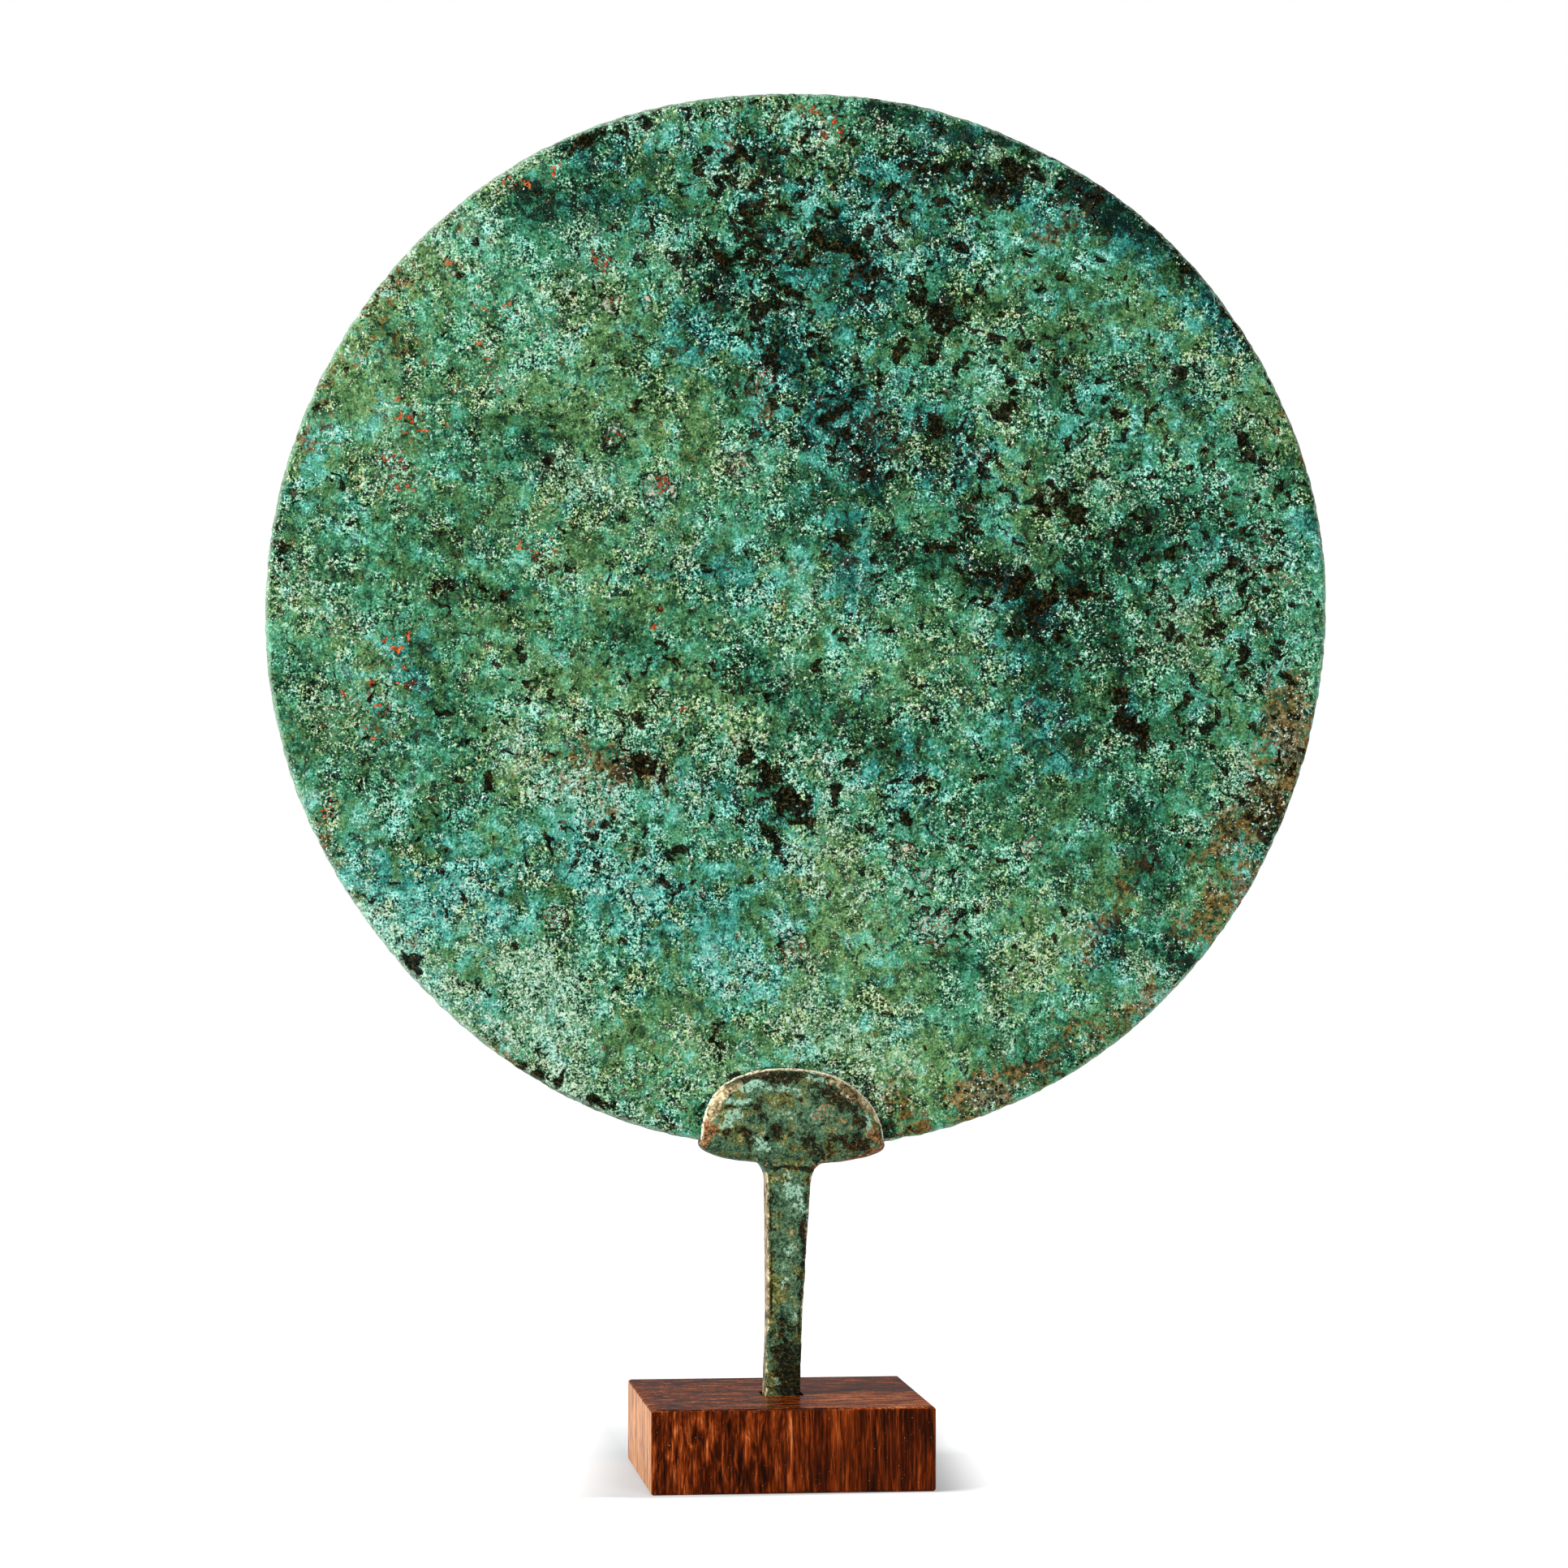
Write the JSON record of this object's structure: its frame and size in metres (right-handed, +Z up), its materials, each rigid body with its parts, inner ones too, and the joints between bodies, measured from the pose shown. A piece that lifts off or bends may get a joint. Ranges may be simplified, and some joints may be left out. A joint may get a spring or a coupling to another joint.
{
  "type": "bronze mirror",
  "caption": "Round ancient bronze hand mirror with a domed clasp and tang, green patina, standing upright in a small wooden block.",
  "frame": {"origin": "centre of the block's underside", "axes": "+Z up along the mirror's height, -Y the way the mirror's shown face looks, +X to the right of a person facing that face"},
  "size_m": [0.2009, 0.051, 0.2599],
  "materials": {
    "disc_patina": "bronze under a matt to satin green patina with pale mint crust, teal stains and dark brown flaked spots",
    "handle_patina": "bronze under a grey-green patina, worn to tan and brown metal on the clasp's shoulder, satin",
    "rosewood": "dark red-brown rosewood with upright figure, satin oil finish"
  },
  "bodies": {
    "root": {"mirror_disc": "disc_patina", "handle": "handle_patina", "stand_block": "rosewood"}
  },
  "joints": []
}
